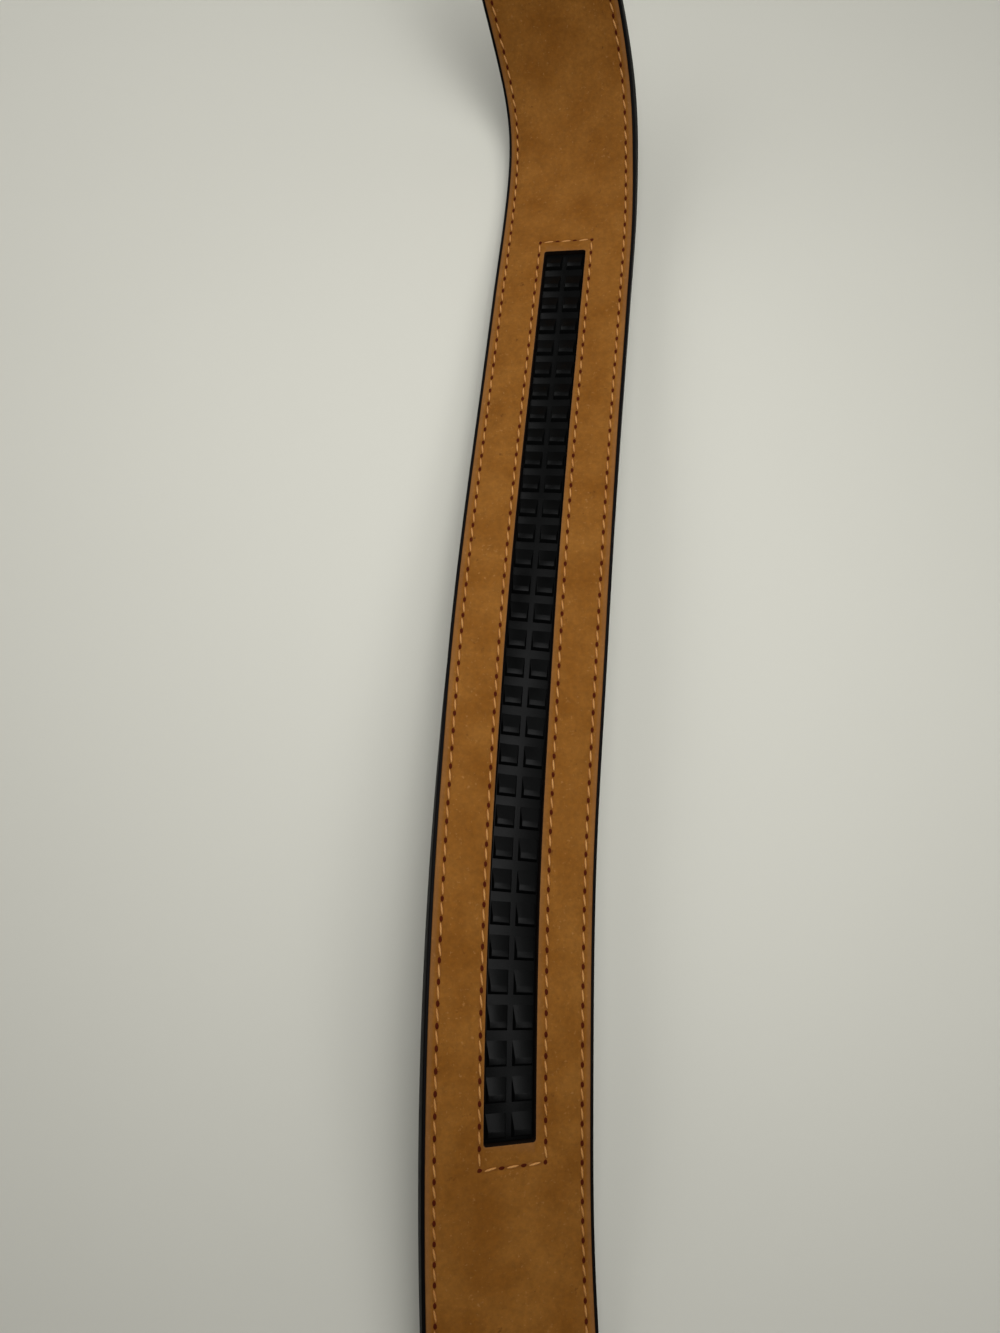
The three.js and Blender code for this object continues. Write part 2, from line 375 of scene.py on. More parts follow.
def start_material(name):
    """A new material, and its node tree with nothing in it yet."""
    made = bpy.data.materials.new(name)
    made.use_nodes = True
    made.node_tree.nodes.clear()
    return made, made.node_tree


def add_node(tree, kind, sockets=None, **settings):
    """Adds a node with its settings, and sets its inputs or links them to outputs."""
    made = tree.nodes.new("ShaderNode" + kind)
    for name, value in settings.items():
        setattr(made, name, value)
    for name, value in (sockets or {}).items():
        if isinstance(value, bpy.types.NodeSocket):
            tree.links.new(value, made.inputs[name])
        else:
            made.inputs[name].default_value = value
    return made


def tan_nubuck():
    """Full-grain cowhide buffed to a nubuck: a matt tan with a soft nap, cloudy dye, faint pores,
    pale flecks and a few dark specks. The sewn grooves are painted darker, as shade in them with
    some grime, and it is dull where it is rubbed."""
    made, tree = start_material("buffed_tan_nubuck")
    place = add_node(tree, "TexCoord").outputs["Object"]
    cloud = add_node(tree, "TexNoise", {"Vector": place, "Scale": per(8 * MM), "Detail": 5})
    cloud_amount = add_node(
        tree, "MapRange", {"Value": cloud.outputs["Fac"], "From Min": 0.32, "From Max": 0.68}
    )
    nap = add_node(
        tree, "TexNoise", {"Vector": place, "Scale": per(1.2 * MM), "Detail": 5, "Roughness": 0.7}
    )
    dye = add_node(
        tree,
        "Mix",
        {FACTOR: cloud_amount.outputs["Result"], FIRST: linear("#7D4D16"), SECOND: linear("#8D5C23")},
        data_type="RGBA",
    )
    nap_shade = add_node(
        tree,
        "MapRange",
        {
            "Value": nap.outputs["Fac"],
            "From Min": 0.3,
            "From Max": 0.7,
            "To Min": 0.83,
            "To Max": 1.13,
        },
    )
    napped = add_node(
        tree,
        "Mix",
        {FACTOR: 1.0, FIRST: dye.outputs[MIXED], SECOND: nap_shade.outputs["Result"]},
        data_type="RGBA",
        blend_type="MULTIPLY",
    )
    speck = add_node(
        tree, "TexNoise", {"Vector": place, "Scale": per(2.2 * MM), "Detail": 3, "Roughness": 0.7}
    )
    speck_amount = add_node(
        tree, "MapRange", {"Value": speck.outputs["Fac"], "From Min": 0.67, "From Max": 0.77, "To Max": 0.7}
    )
    specked = add_node(
        tree,
        "Mix",
        {FACTOR: speck_amount.outputs["Result"], FIRST: napped.outputs[MIXED], SECOND: linear("#42210B")},
        data_type="RGBA",
    )
    fleck = add_node(
        tree, "TexNoise", {"Vector": place, "Scale": per(0.9 * MM), "Detail": 3, "Roughness": 0.7}
    )
    fleck_amount = add_node(
        tree, "MapRange", {"Value": fleck.outputs["Fac"], "From Min": 0.62, "From Max": 0.74, "To Max": 0.4}
    )
    flecked = add_node(
        tree,
        "Mix",
        {FACTOR: fleck_amount.outputs["Result"], FIRST: specked.outputs[MIXED], SECOND: linear("#B98A52")},
        data_type="RGBA",
    )
    # The sewn grooves are painted darker: shade that falls in them, with some grime.
    seam = add_node(tree, "Attribute", attribute_name="groove")
    painted_groove_shade = add_node(tree, "MapRange", {"Value": seam.outputs["Fac"], "To Max": 0.55})
    groove_shaded_colour = add_node(
        tree,
        "Mix",
        {FACTOR: painted_groove_shade.outputs["Result"], FIRST: flecked.outputs[MIXED], SECOND: linear("#6E3F17")},
        data_type="RGBA",
    )
    edge = add_node(tree, "Attribute", attribute_name="rubbed")
    edge_shade = add_node(tree, "MapRange", {"Value": edge.outputs["Fac"], "To Max": 0.35})
    rubbed = add_node(
        tree,
        "Mix",
        {FACTOR: edge_shade.outputs["Result"], FIRST: groove_shaded_colour.outputs[MIXED], SECOND: linear("#7F5A3C")},
        data_type="RGBA",
    )
    pores = add_node(tree, "TexVoronoi", {"Vector": place, "Scale": per(0.9 * MM)})
    relief = add_node(
        tree, "Math", {0: nap.outputs["Fac"], 1: pores.outputs["Distance"]}, operation="MULTIPLY"
    )
    bump = add_node(
        tree, "Bump", {"Height": relief.outputs["Value"], "Strength": 0.5, "Distance": 0.25 * MM}
    )
    rough = add_node(tree, "MapRange", {"Value": nap.outputs["Fac"], "To Min": 0.78, "To Max": 0.95})
    shader = add_node(
        tree,
        "BsdfPrincipled",
        {
            "Base Color": rubbed.outputs[MIXED],
            "Roughness": rough.outputs["Result"],
            "Normal": bump.outputs["Normal"],
            "Sheen Weight": 0.02,
            "Sheen Roughness": 0.5,
            "Sheen Tint": linear("#D9B48A"),
            "Specular IOR Level": 0.12,
        },
    )
    add_node(tree, "OutputMaterial", {"Surface": shader.outputs["BSDF"]})
    return made


def cut_hide():
    """The punched wall of the slot, near black: dull, with fibres showing."""
    made, tree = start_material("near_black_cut_hide")
    place = add_node(tree, "TexCoord").outputs["Object"]
    fibre = add_node(tree, "TexNoise", {"Vector": place, "Scale": per(0.5 * MM), "Detail": 4})
    colour = add_node(
        tree,
        "Mix",
        {FACTOR: fibre.outputs["Fac"], FIRST: linear("#0C0705"), SECOND: linear("#21140B")},
        data_type="RGBA",
    )
    bump = add_node(tree, "Bump", {"Height": fibre.outputs["Fac"], "Strength": 0.6, "Distance": 0.2 * MM})
    shader = add_node(
        tree,
        "BsdfPrincipled",
        {
            "Base Color": colour.outputs[MIXED],
            "Roughness": 0.9,
            "Normal": bump.outputs["Normal"],
            "Specular IOR Level": 0.1,
        },
    )
    add_node(tree, "OutputMaterial", {"Surface": shader.outputs["BSDF"]})
    return made


def edge_paint():
    """Acrylic edge paint in several coats: near black, satin, with slight waves from the brush."""
    made, tree = start_material("black_edge_paint")
    place = add_node(tree, "TexCoord").outputs["Object"]
    wave = add_node(tree, "TexNoise", {"Vector": place, "Scale": per(2.5 * MM), "Detail": 4})
    colour = add_node(
        tree,
        "Mix",
        {FACTOR: wave.outputs["Fac"], FIRST: linear("#050304"), SECOND: linear("#0B0807")},
        data_type="RGBA",
    )
    rough = add_node(tree, "MapRange", {"Value": wave.outputs["Fac"], "To Min": 0.45, "To Max": 0.7})
    bump = add_node(tree, "Bump", {"Height": wave.outputs["Fac"], "Strength": 0.35, "Distance": 0.2 * MM})
    shader = add_node(
        tree,
        "BsdfPrincipled",
        {
            "Base Color": colour.outputs[MIXED],
            "Roughness": rough.outputs["Result"],
            "Normal": bump.outputs["Normal"],
            "Specular IOR Level": 0.06,
        },
    )
    add_node(tree, "OutputMaterial", {"Surface": shader.outputs["BSDF"]})
    return made


def grain_leather():
    """Black drum-dyed top grain: small pebbles with creases between them painted darker as shade, and a low
    gloss.
    """
    made, tree = start_material("black_top_grain_leather")
    place = add_node(tree, "TexCoord").outputs["Object"]
    drift = add_node(tree, "TexNoise", {"Vector": place, "Scale": per(4 * MM), "Detail": 2})
    pushed = add_node(
        tree,
        "VectorMath",
        {0: drift.outputs["Color"], 1: (MM, MM, MM), 2: place},
        operation="MULTIPLY_ADD",
    )
    pebbles = add_node(
        tree,
        "TexVoronoi",
        {"Vector": pushed.outputs["Vector"], "Scale": per(1.3 * MM)},
        feature="DISTANCE_TO_EDGE",
    )
    crease = add_node(
        tree,
        "MapRange",
        {"Value": pebbles.outputs["Distance"], "From Max": 0.16},
        interpolation_type="SMOOTHSTEP",
    )
    # The creases are painted darker than the pebble tops, as shade in them.
    colour = add_node(
        tree,
        "Mix",
        {FACTOR: crease.outputs["Result"], FIRST: linear("#0B0807"), SECOND: linear("#1E1815")},
        data_type="RGBA",
    )
    rough = add_node(tree, "MapRange", {"Value": crease.outputs["Result"], "To Min": 0.7, "To Max": 0.46})
    bump = add_node(
        tree, "Bump", {"Height": crease.outputs["Result"], "Strength": 0.6, "Distance": 0.12 * MM}
    )
    shader = add_node(
        tree,
        "BsdfPrincipled",
        {
            "Base Color": colour.outputs[MIXED],
            "Roughness": rough.outputs["Result"],
            "Normal": bump.outputs["Normal"],
        },
    )
    add_node(tree, "OutputMaterial", {"Surface": shader.outputs["BSDF"]})
    return made


def moulded_nylon():
    """Injection-moulded black nylon: a fine spark-eroded texture, and a gloss that varies a little."""
    made, tree = start_material("moulded_black_nylon")
    place = add_node(tree, "TexCoord").outputs["Object"]
    texture = add_node(tree, "TexNoise", {"Vector": place, "Scale": per(0.4 * MM), "Detail": 3})
    film = add_node(tree, "TexNoise", {"Vector": place, "Scale": per(7 * MM), "Detail": 4})
    colour = add_node(
        tree,
        "Mix",
        {FACTOR: film.outputs["Fac"], FIRST: linear("#040404"), SECOND: linear("#070808")},
        data_type="RGBA",
    )
    rough = add_node(
        tree,
        "MapRange",
        {
            "Value": film.outputs["Fac"],
            "From Min": 0.3,
            "From Max": 0.7,
            "To Min": 0.3,
            "To Max": 0.42,
        },
    )
    bump = add_node(
        tree, "Bump", {"Height": texture.outputs["Fac"], "Strength": 0.25, "Distance": 0.05 * MM}
    )
    shader = add_node(
        tree,
        "BsdfPrincipled",
        {
            "Base Color": colour.outputs[MIXED],
            "Roughness": rough.outputs["Result"],
            "Normal": bump.outputs["Normal"],
            "Specular IOR Level": 0.075,
        },
    )
    add_node(tree, "OutputMaterial", {"Surface": shader.outputs["BSDF"]})
    return made


def bonded_thread():
    """Bonded polyester thread in ochre orange: a two-ply twist with a waxy sheen."""
    made, tree = start_material("ochre_bonded_thread")
    ply_map = add_node(tree, "UVMap", uv_map="ply").outputs["UV"]
    ply = add_node(
        tree,
        "TexWave",
        {"Vector": ply_map, "Scale": WAVE_BAND * per(THREAD_TWIST), "Distortion": 0.4},
        bands_direction="DIAGONAL",
    )
    place = add_node(tree, "TexCoord").outputs["Object"]
    worn = add_node(tree, "TexNoise", {"Vector": place, "Scale": per(6 * MM), "Detail": 3})
    dyed = add_node(
        tree,
        "Mix",
        {FACTOR: worn.outputs["Fac"], FIRST: linear("#B9742E"), SECOND: linear("#DCA660")},
        data_type="RGBA",
    )
    shadowed = add_node(tree, "MapRange", {"Value": ply.outputs["Fac"], "To Min": 0.75, "To Max": 1.0})
    colour = add_node(
        tree,
        "Mix",
        {FACTOR: 1.0, FIRST: dyed.outputs[MIXED], SECOND: shadowed.outputs["Result"]},
        data_type="RGBA",
        blend_type="MULTIPLY",
    )
    bump = add_node(tree, "Bump", {"Height": ply.outputs["Fac"], "Strength": 0.5, "Distance": 0.08 * MM})
    shader = add_node(
        tree,
        "BsdfPrincipled",
        {
            "Base Color": colour.outputs[MIXED],
            "Roughness": 0.5,
            "Normal": bump.outputs["Normal"],
            "Specular IOR Level": 0.3,
        },
    )
    add_node(tree, "OutputMaterial", {"Surface": shader.outputs["BSDF"]})
    return made


def hole_shade_and_burnish():
    """Painted shade of a needle hole, with the hide burnished round it: dark red-brown, with paler fibres
    in it.
    """
    made, tree = start_material("needle_hole_shade_and_burnish")
    place = add_node(tree, "TexCoord").outputs["Object"]
    fibre = add_node(tree, "TexNoise", {"Vector": place, "Scale": per(0.6 * MM), "Detail": 3})
    # Dark red-brown: the hole's painted shade together with the hide's burnish.
    colour = add_node(
        tree,
        "Mix",
        {FACTOR: fibre.outputs["Fac"], FIRST: linear("#381105"), SECOND: linear("#551E0A")},
        data_type="RGBA",
    )
    shader = add_node(
        tree,
        "BsdfPrincipled",
        {"Base Color": colour.outputs[MIXED], "Roughness": 0.85, "Specular IOR Level": 0.05},
    )
    add_node(tree, "OutputMaterial", {"Surface": shader.outputs["BSDF"]})
    return made


def satin_zinc():
    """Die-cast zinc, nickel plated and brushed across: a grey metal with fine straight lines."""
    made, tree = start_material("brushed_nickel_plate")
    place = add_node(tree, "TexCoord").outputs["Object"]
    stretched = add_node(tree, "Mapping", {"Vector": place, "Scale": (0.02, 1, 1)})
    lines = add_node(
        tree, "TexNoise", {"Vector": stretched.outputs["Vector"], "Scale": per(0.35 * MM), "Detail": 5}
    )
    haze = add_node(tree, "TexNoise", {"Vector": place, "Scale": per(15 * MM), "Detail": 3})
    colour = add_node(
        tree,
        "Mix",
        {FACTOR: haze.outputs["Fac"], FIRST: linear("#A09C97"), SECOND: linear("#BAB7B2")},
        data_type="RGBA",
    )
    rough = add_node(tree, "MapRange", {"Value": lines.outputs["Fac"], "To Min": 0.22, "To Max": 0.46})
    bump = add_node(tree, "Bump", {"Height": lines.outputs["Fac"], "Strength": 0.2, "Distance": 0.04 * MM})
    shader = add_node(
        tree,
        "BsdfPrincipled",
        {
            "Base Color": colour.outputs[MIXED],
            "Metallic": 1.0,
            "Roughness": rough.outputs["Result"],
            "Normal": bump.outputs["Normal"],
        },
    )
    add_node(tree, "OutputMaterial", {"Surface": shader.outputs["BSDF"]})
    return made


def matt_board():
    """Painted board for the floor: pale, matt, barely uneven."""
    made, tree = start_material("pale_matt_board")
    place = add_node(tree, "TexCoord").outputs["Object"]
    patch = add_node(tree, "TexNoise", {"Vector": place, "Scale": per(120 * MM), "Detail": 3})
    colour = add_node(
        tree,
        "Mix",
        {FACTOR: patch.outputs["Fac"], FIRST: linear("#D5D4C9"), SECOND: linear("#D9D8CD")},
        data_type="RGBA",
    )
    shader = add_node(tree, "BsdfPrincipled", {"Base Color": colour.outputs[MIXED], "Roughness": 0.7})
    add_node(tree, "OutputMaterial", {"Surface": shader.outputs["BSDF"]})
    return made


def strap_rows():
    """Where the strap is cut across, close together wherever it bends."""
    stretches = [
        (DIP_START, DIP_END),
        (LIFT_START, SLOT_START),
        (SLOT_START, SLOT_END),
        (SLOT_END, TIP_START),
    ]
    rows = set()
    for low, high in stretches:
        steps = math.ceil((high - low) / ROW_STEP)
        rows.update(low + (high - low) * i / steps for i in range(steps + 1))
    return [row for row in sorted(rows) if row < TIP_START - TINY]


def strap_sheet(name, inset, rows):
    """The strap's outline as a flat sheet: a long plane whose end is drawn out into the blunt tip."""
    half = STRAP_WIDTH / 2 - inset
    piece = start_piece(
        name,
        bpy.ops.mesh.primitive_plane_add,
        (2 * half, TIP_START, 1),
        size=1,
        location=(0, TIP_START / 2, 0),
    )
    pick(piece, "EDGE", lambda edge: all(vert.co.y > TIP_START - TINY for vert in edge.verts))
    reach = TIP_REACH - inset
    for step in range(TIP_STEPS):
        before, after = (TIP_ARC * i / TIP_STEPS for i in (step, step + 1))
        ahead = reach * (math.sin(after) - math.sin(before))
        bpy.ops.mesh.extrude_edges_move(TRANSFORM_OT_translate={"value": (0, ahead, 0)})
        end = TIP_START + reach * math.sin(after)
        narrower = math.cos(after) / math.cos(before)
        bpy.ops.transform.resize(value=(narrower, 1, 1), center_override=(0, end, 0))
    cut(piece, rows, (0, 1, 0))
    return piece


def outer_leather():
    """A tray: the painted edge stands up round the recess for the lining."""
    piece = strap_sheet("outer_leather", 0, strap_rows())
    apply_modifier(piece, "SOLIDIFY", thickness=EDGE_HEIGHT, offset=1)
    face_outwards(piece)
    pick_sharp(piece, lambda end: end.z > EDGE_HEIGHT - TINY)
    bpy.ops.mesh.bevel(offset=EDGE_ROUND, segments=3)
    pick_sharp(piece, lambda end: end.z < TINY)
    bpy.ops.mesh.bevel(offset=FACE_ROUND, segments=3)
    pick(piece, "FACE", lambda face: face.calc_center_median().z > EDGE_HEIGHT - TINY)
    bpy.ops.mesh.inset(thickness=EDGE_RIM - EDGE_ROUND)
    down = OUTER_THICKNESS - EDGE_HEIGHT
    bpy.ops.mesh.extrude_region_move(TRANSFORM_OT_translate={"value": (0, 0, down)})
    face_outwards(piece)
    deselect()
    finish_faces(
        piece,
        [(edge_paint(), everywhere), (grain_leather(), lambda face: face.center.z < FACE_ROUND / 2)],
    )
    lay(piece)
    belongs(piece, "black_leather", "strap_outer")


def frame_skew(along):
    """How far the sewn frame lies off the strap's middle there: it wanders off towards the buckle."""
    share = (FRAME_STOP - along) / (FRAME_STOP - FRAME_START)
    return FRAME_SKEW * min(1, max(0, share)) ** 2


def at_slot(end, reach=TINY):
    """Whether a point of the straight lining is in the slot, or this near to it."""
    along = SLOT_START - reach < end.y < SLOT_END + reach
    return abs(end.x) < SLOT_WIDTH / 2 + reach and along


def lining_sheet():
    """A flat sheet with loops along its edge: one to round it, then three for the sewn groove."""
    frame_ends = (FRAME_START, FRAME_STOP)
    frame_rows = [end + side for end in frame_ends for side in (-GROOVE_HALF, 0, GROOVE_HALF)]
    piece = strap_sheet("nubuck_lining", LINING_INSET, sorted(strap_rows() + frame_rows))
    to_groove = SEAM_INSET - LINING_INSET
    pick(piece, "FACE")
    bpy.ops.mesh.inset(thickness=2 * LINING_ROUND)
    bpy.ops.mesh.inset(thickness=to_groove - GROOVE_HALF - 2 * LINING_ROUND)
    bpy.ops.mesh.inset(thickness=GROOVE_HALF)
    mesh = bmesh.from_edit_mesh(piece.data)
    mesh.faces.index_update()
    inside = {face.index for face in mesh.faces if face.select}

    # The groove's middle loop is kept as a vertex group
    bpy.ops.mesh.region_to_loop()
    bpy.ops.object.vertex_group_add()
    bpy.ops.object.vertex_group_assign()
    pick(piece, "FACE", lambda face: face.index in inside)
    bpy.ops.mesh.inset(thickness=GROOVE_HALF)
    bpy.ops.object.vertex_group_remove_from()
    return piece


def cut_slot(piece):
    """Cuts columns for the slot and its sewn frame, then the slot itself."""
    beside_frame = [FRAME_ACROSS - GROOVE_HALF, FRAME_ACROSS, FRAME_ACROSS + GROOVE_HALF]
    columns = [SLOT_WIDTH / 2, *beside_frame, FRAME_ACROSS + FRAME_MARGIN]
    inner = SEAM_ACROSS - GROOVE_HALF

    def between_grooves(face):
        within = all(abs(vert.co.x) < inner + TINY for vert in face.verts)
        return within and face.calc_center_median().y < TIP_START

    def in_slot(face):
        centre = face.calc_center_median()
        return abs(centre.x) < SLOT_WIDTH / 2 and SLOT_START < centre.y < SLOT_END

    cut(piece, [side * column for column in columns for side in (-1, 1)], (1, 0, 0), between_grooves)
    mesh = bmesh.from_edit_mesh(piece.data)
    for vert in mesh.verts:
        if any(abs(abs(vert.co.x) - column) < TINY for column in beside_frame):
            vert.co.x += frame_skew(vert.co.y)
    pick(piece, "FACE", in_slot)
    bpy.ops.mesh.delete(type="FACE")


def round_lining(piece):
    """Rounds the slot's corners, its rim, and the edge of the strap."""
    surface = STRAP_THICKNESS - TINY

    def at_corner(edge):
        a, b = (vert.co for vert in edge.verts)
        upright = edge.calc_length() > LINING_THICKNESS / 2 and math.dist(a.xy, b.xy) < TINY
        at_end = min(abs(a.y - end) for end in (SLOT_START, SLOT_END)) < TINY
        return upright and at_end and at_slot(a) and at_slot(b)

    pick(piece, "EDGE", at_corner)
    bpy.ops.mesh.bevel(offset=SLOT_CORNER, segments=4)
    pick_sharp(piece, lambda end: end.z > surface and at_slot(end))
    bpy.ops.mesh.bevel(offset=CUT_ROUND, segments=2)
    pick_sharp(piece, lambda end: end.z > surface and not at_slot(end, FRAME_SIDE / 2))
    bpy.ops.mesh.bevel(offset=LINING_ROUND, segments=3)


def press_grooves(piece):
    """Presses the sewn grooves into the surface and marks them for the material's painted shade."""

    def in_frame_groove(vert):
        across, along = abs(vert.co.x - frame_skew(vert.co.y)), vert.co.y
        on_side = abs(across - FRAME_ACROSS) < TINY and FRAME_START - TINY < along < FRAME_STOP + TINY
        to_end = min(abs(along - FRAME_START), abs(along - FRAME_STOP))
        return on_side or (to_end < TINY and across < FRAME_ACROSS + TINY)

    bpy.ops.mesh.select_mode(type="VERT")
    bpy.ops.mesh.select_all(action="DESELECT")
    bpy.ops.object.vertex_group_select()
    mesh = bmesh.from_edit_mesh(piece.data)
    groove = {
        vert.index
        for vert in mesh.verts
        if vert.co.z > STRAP_THICKNESS - TINY and (vert.select or in_frame_groove(vert))
    }
    pick(piece, "VERT", lambda vert: vert.index in groove)
    move_picked(height=-GROOVE_DEPTH)
    deselect()
    mark = piece.data.attributes.new("groove", "FLOAT", "POINT")
    for index in groove:
        mark.data[index].value = 1.0


def mark_rubbed(piece):
    """Marks the strips along the slot and along the edge, where the nap is rubbed off."""
    half = STRAP_WIDTH / 2 - LINING_INSET
    reach = TIP_REACH - LINING_INSET
    rubbed = piece.data.attributes.new("rubbed", "FLOAT", "POINT")
    for vert in piece.data.vertices:
        outward = math.hypot(vert.co.x / half, max(0, vert.co.y - TIP_START) / reach)
        at_edge = outward > 1 - 2 * LINING_ROUND / half - TINY / half
        if at_edge or at_slot(vert.co, CUT_ROUND + TINY):
            rubbed.data[vert.index].value = 1.0


def lining():
    """A sheet with a sewn groove near its edge and round its slot, set into the outer leather."""
    nearly_level = 0.98

    def on_cut(face):
        return at_slot(face.center, CUT_ROUND) and face.normal.z < nearly_level

    piece = lining_sheet()
    cut_slot(piece)
    apply_modifier(piece, "SOLIDIFY", thickness=LINING_THICKNESS, offset=1)
    pick(piece, "VERT")
    move_picked(height=STRAP_THICKNESS - LINING_THICKNESS)
    face_outwards(piece)
    round_lining(piece)
    press_grooves(piece)
    mark_rubbed(piece)
    finish_faces(piece, [(tan_nubuck(), everywhere), (cut_hide(), on_cut)])
    lay(piece)
    belongs(piece, "tan_lining", "strap_lining")


def wedge_tooth(top):
    """The +X tooth of the row nearest the tip: a ramp up from the base's top, a crest, a steep face."""
    ramp_foot = TRACK_END - FIRST_RAMP
    crest_top = ramp_foot - RAMP_LENGTH
    crest_end = crest_top - CREST_LAND
    face_foot = crest_end - FACE_RUN
    crest = top + TOOTH_HEIGHT
    ridge = math.radians(10)
    tooth = start_block(
        "tooth",
        (TOOTH_GROOVE / 2, face_foot, top - TOOTH_SUNK),
        (TOOTH_GROOVE / 2 + TOOTH_WIDTH, ramp_foot, crest),
    )
    cut(tooth, [crest_top, crest_end], (0, 1, 0))
    for foot in (ramp_foot, face_foot):
        pick(tooth, "VERT", lambda vert: vert.co.z > crest - TINY and abs(vert.co.y - foot) < TINY)
        move_picked(height=-TOOTH_HEIGHT - TINY)
    pick(tooth, "VERT", lambda vert: vert.co.z > crest - TINY)
    narrower = 1 - 2 * TOOTH_DRAFT / TOOTH_WIDTH
    crest_middle = ((TOOTH_GROOVE + TOOTH_WIDTH) / 2, crest_top, crest)
    bpy.ops.transform.resize(value=(narrower, 1, 1), center_override=crest_middle)
    pick(
        tooth,
        "EDGE",
        lambda edge: edge.calc_face_angle() > ridge
        and any(vert.co.z > crest - TINY for vert in edge.verts),
    )
    bpy.ops.mesh.bevel(offset=TOOTH_ROUND, segments=2)
    return tooth


def track():
    """A thin base with wedge teeth in pairs, each climbing towards the buckle to a flat crest."""
    top = TRACK_SEAT + BASE_THICKNESS
    base = start_block(
        "ratchet_track_moulding",
        (-TRACK_WIDTH / 2, TRACK_START, TRACK_SEAT),
        (TRACK_WIDTH / 2, TRACK_END, top),
    )
    pick_sharp(base)
    bpy.ops.mesh.bevel(offset=TOOTH_ROUND, segments=2)
    length = TRACK_END - TRACK_START
    cuts = 2 * TOOTH_ROWS
    cut(base, [TRACK_START + length * (i + 0.5) / cuts for i in range(cuts)], (0, 1, 0))

    tooth = wedge_tooth(top)
    apply_modifier(
        tooth,
        "ARRAY",
        count=TOOTH_ROWS,
        use_relative_offset=False,
        use_constant_offset=True,
        constant_offset_displace=(0, -TOOTH_PITCH, 0),
    )
    apply_modifier(tooth, "MIRROR", use_mirror_merge=False)
    face_outwards(tooth)
    piece = join([base, tooth])
    finish_faces(piece, [(moulded_nylon(), everywhere)], angle=25)
    lay(piece)
    belongs(piece, "black_plastic", "ratchet_track")


def holes_along(path, stitch):
    """Evenly spaced points along a path of straight steps, a whole number of stitches."""
    lengths = [math.dist(a, b) for a, b in zip(path, path[1:])]
    count = round(sum(lengths) / stitch)
    holes = []
    for i in range(count + 1):
        left = sum(lengths) * i / count
        step = 0
        while step < len(lengths) - 1 and left > lengths[step]:
            left -= lengths[step]
            step += 1
        share = left / lengths[step]
        a, b = path[step], path[step + 1]
        holes.append((a[0] + (b[0] - a[0]) * share, a[1] + (b[1] - a[1]) * share))
    return holes


def frame_side(across):
    """Points along one side of the sewn frame, this far from its own middle line."""
    length = FRAME_STOP - FRAME_START
    stops = [FRAME_START + length * i / FRAME_STEPS for i in range(FRAME_STEPS + 1)]
    return [(across + frame_skew(along), along) for along in stops]


def seams():
    """The needle holes of each seam, in the order they are sewn."""
    reach = TIP_REACH - SEAM_INSET
    arc = [
        (SEAM_ACROSS * math.cos(angle), TIP_START + reach * math.sin(angle))
        for angle in (TIP_ARC * i / TIP_STEPS for i in range(TIP_STEPS + 1))
    ]
    up = [(SEAM_ACROSS, SEAM_START), *arc]
    down = [(-across, along) for across, along in reversed(up)]
    right, left = frame_side(FRAME_ACROSS), frame_side(-FRAME_ACROSS)
    frame_paths = [right, [right[-1], left[-1]], list(reversed(left)), [left[0], right[0]]]
    frame_seams = [holes_along(path, FRAME_STITCH) for path in frame_paths]
    return [holes_along(up + down, EDGE_STITCH), *frame_seams]


def copies(template, places, name):
    """One joined piece of copies, each at (across, along, height, heading)."""
    made = []
    for across, along, height, heading in places:
        mesh = template.data.copy()
        mesh.transform(Matrix.Translation((across, along, height)) @ Matrix.Rotation(heading, 4, "Z"))
        copy = bpy.data.objects.new(name, mesh)
        bpy.context.collection.objects.link(copy)
        made.append(copy)
    bpy.data.objects.remove(template)
    piece = join(made)
    piece.name = piece.data.name = name
    return piece


def heading_of(a, b):
    """The turn about Z that points +Y from one point to the other."""
    return math.atan2(b[1] - a[1], b[0] - a[0]) - math.pi / 2


def thread():
    """Each stitch is a short arch of thread that dives into the hide at both ends."""
    stitch = start_piece(
        "stitch",
        bpy.ops.mesh.primitive_uv_sphere_add,
        (THREAD_WIDTH, THREAD_HEIGHT, THREAD_LENGTH),
        segments=8,
        ring_count=6,
        radius=0.5,
    )
    deselect()
    stitch.data.transform(Matrix.Rotation(math.pi / 2, 4, "X"))
    stitch.data.uv_layers[0].name = "ply"
    for corner in stitch.data.uv_layers[0].uv:
        corner.vector = (corner.vector[0] * THREAD_WIDTH * math.pi, corner.vector[1] * THREAD_LENGTH)
    height = STRAP_THICKNESS - GROOVE_DEPTH + THREAD_LIFT
    places = []
    sway = random.Random(4)
    for seam in seams():
        for a, b in zip(seam, seam[1:]):
            between = ((a[0] + b[0]) / 2, (a[1] + b[1]) / 2)
            slant = THREAD_SLANT + sway.uniform(-THREAD_SWAY, THREAD_SWAY)
            places.append((*between, height, heading_of(a, b) + slant))
    piece = copies(stitch, places, "sewing_thread")
    finish_faces(piece, [(bonded_thread(), everywhere)], angle=60)
    lay(piece)
    belongs(piece, "tan_lining")


def needle_holes():
    """A dark oval at each needle hole, where one stitch ends and the next starts: the hole's shade painted
    on, with the hide pressed round it.
    """
    hole = start_piece(
        "hole",
        bpy.ops.mesh.primitive_uv_sphere_add,
        (HOLE_WIDTH, HOLE_LENGTH, 2 * HOLE_CROWN),
        segments=8,
        ring_count=6,
        radius=0.5,
    )
    deselect()
    while hole.data.uv_layers:
        hole.data.uv_layers.remove(hole.data.uv_layers[0])
    height = STRAP_THICKNESS - GROOVE_DEPTH + HOLE_LIFT
    places = []
    for seam in seams():
        for a, b in zip(seam, seam[1:]):
            places.append((*a, height, heading_of(a, b) + THREAD_SLANT))
    piece = copies(hole, places, "needle_holes")
    finish_faces(piece, [(hole_shade_and_burnish(), everywhere)], angle=60)
    lay(piece)
    belongs(piece, "tan_lining")


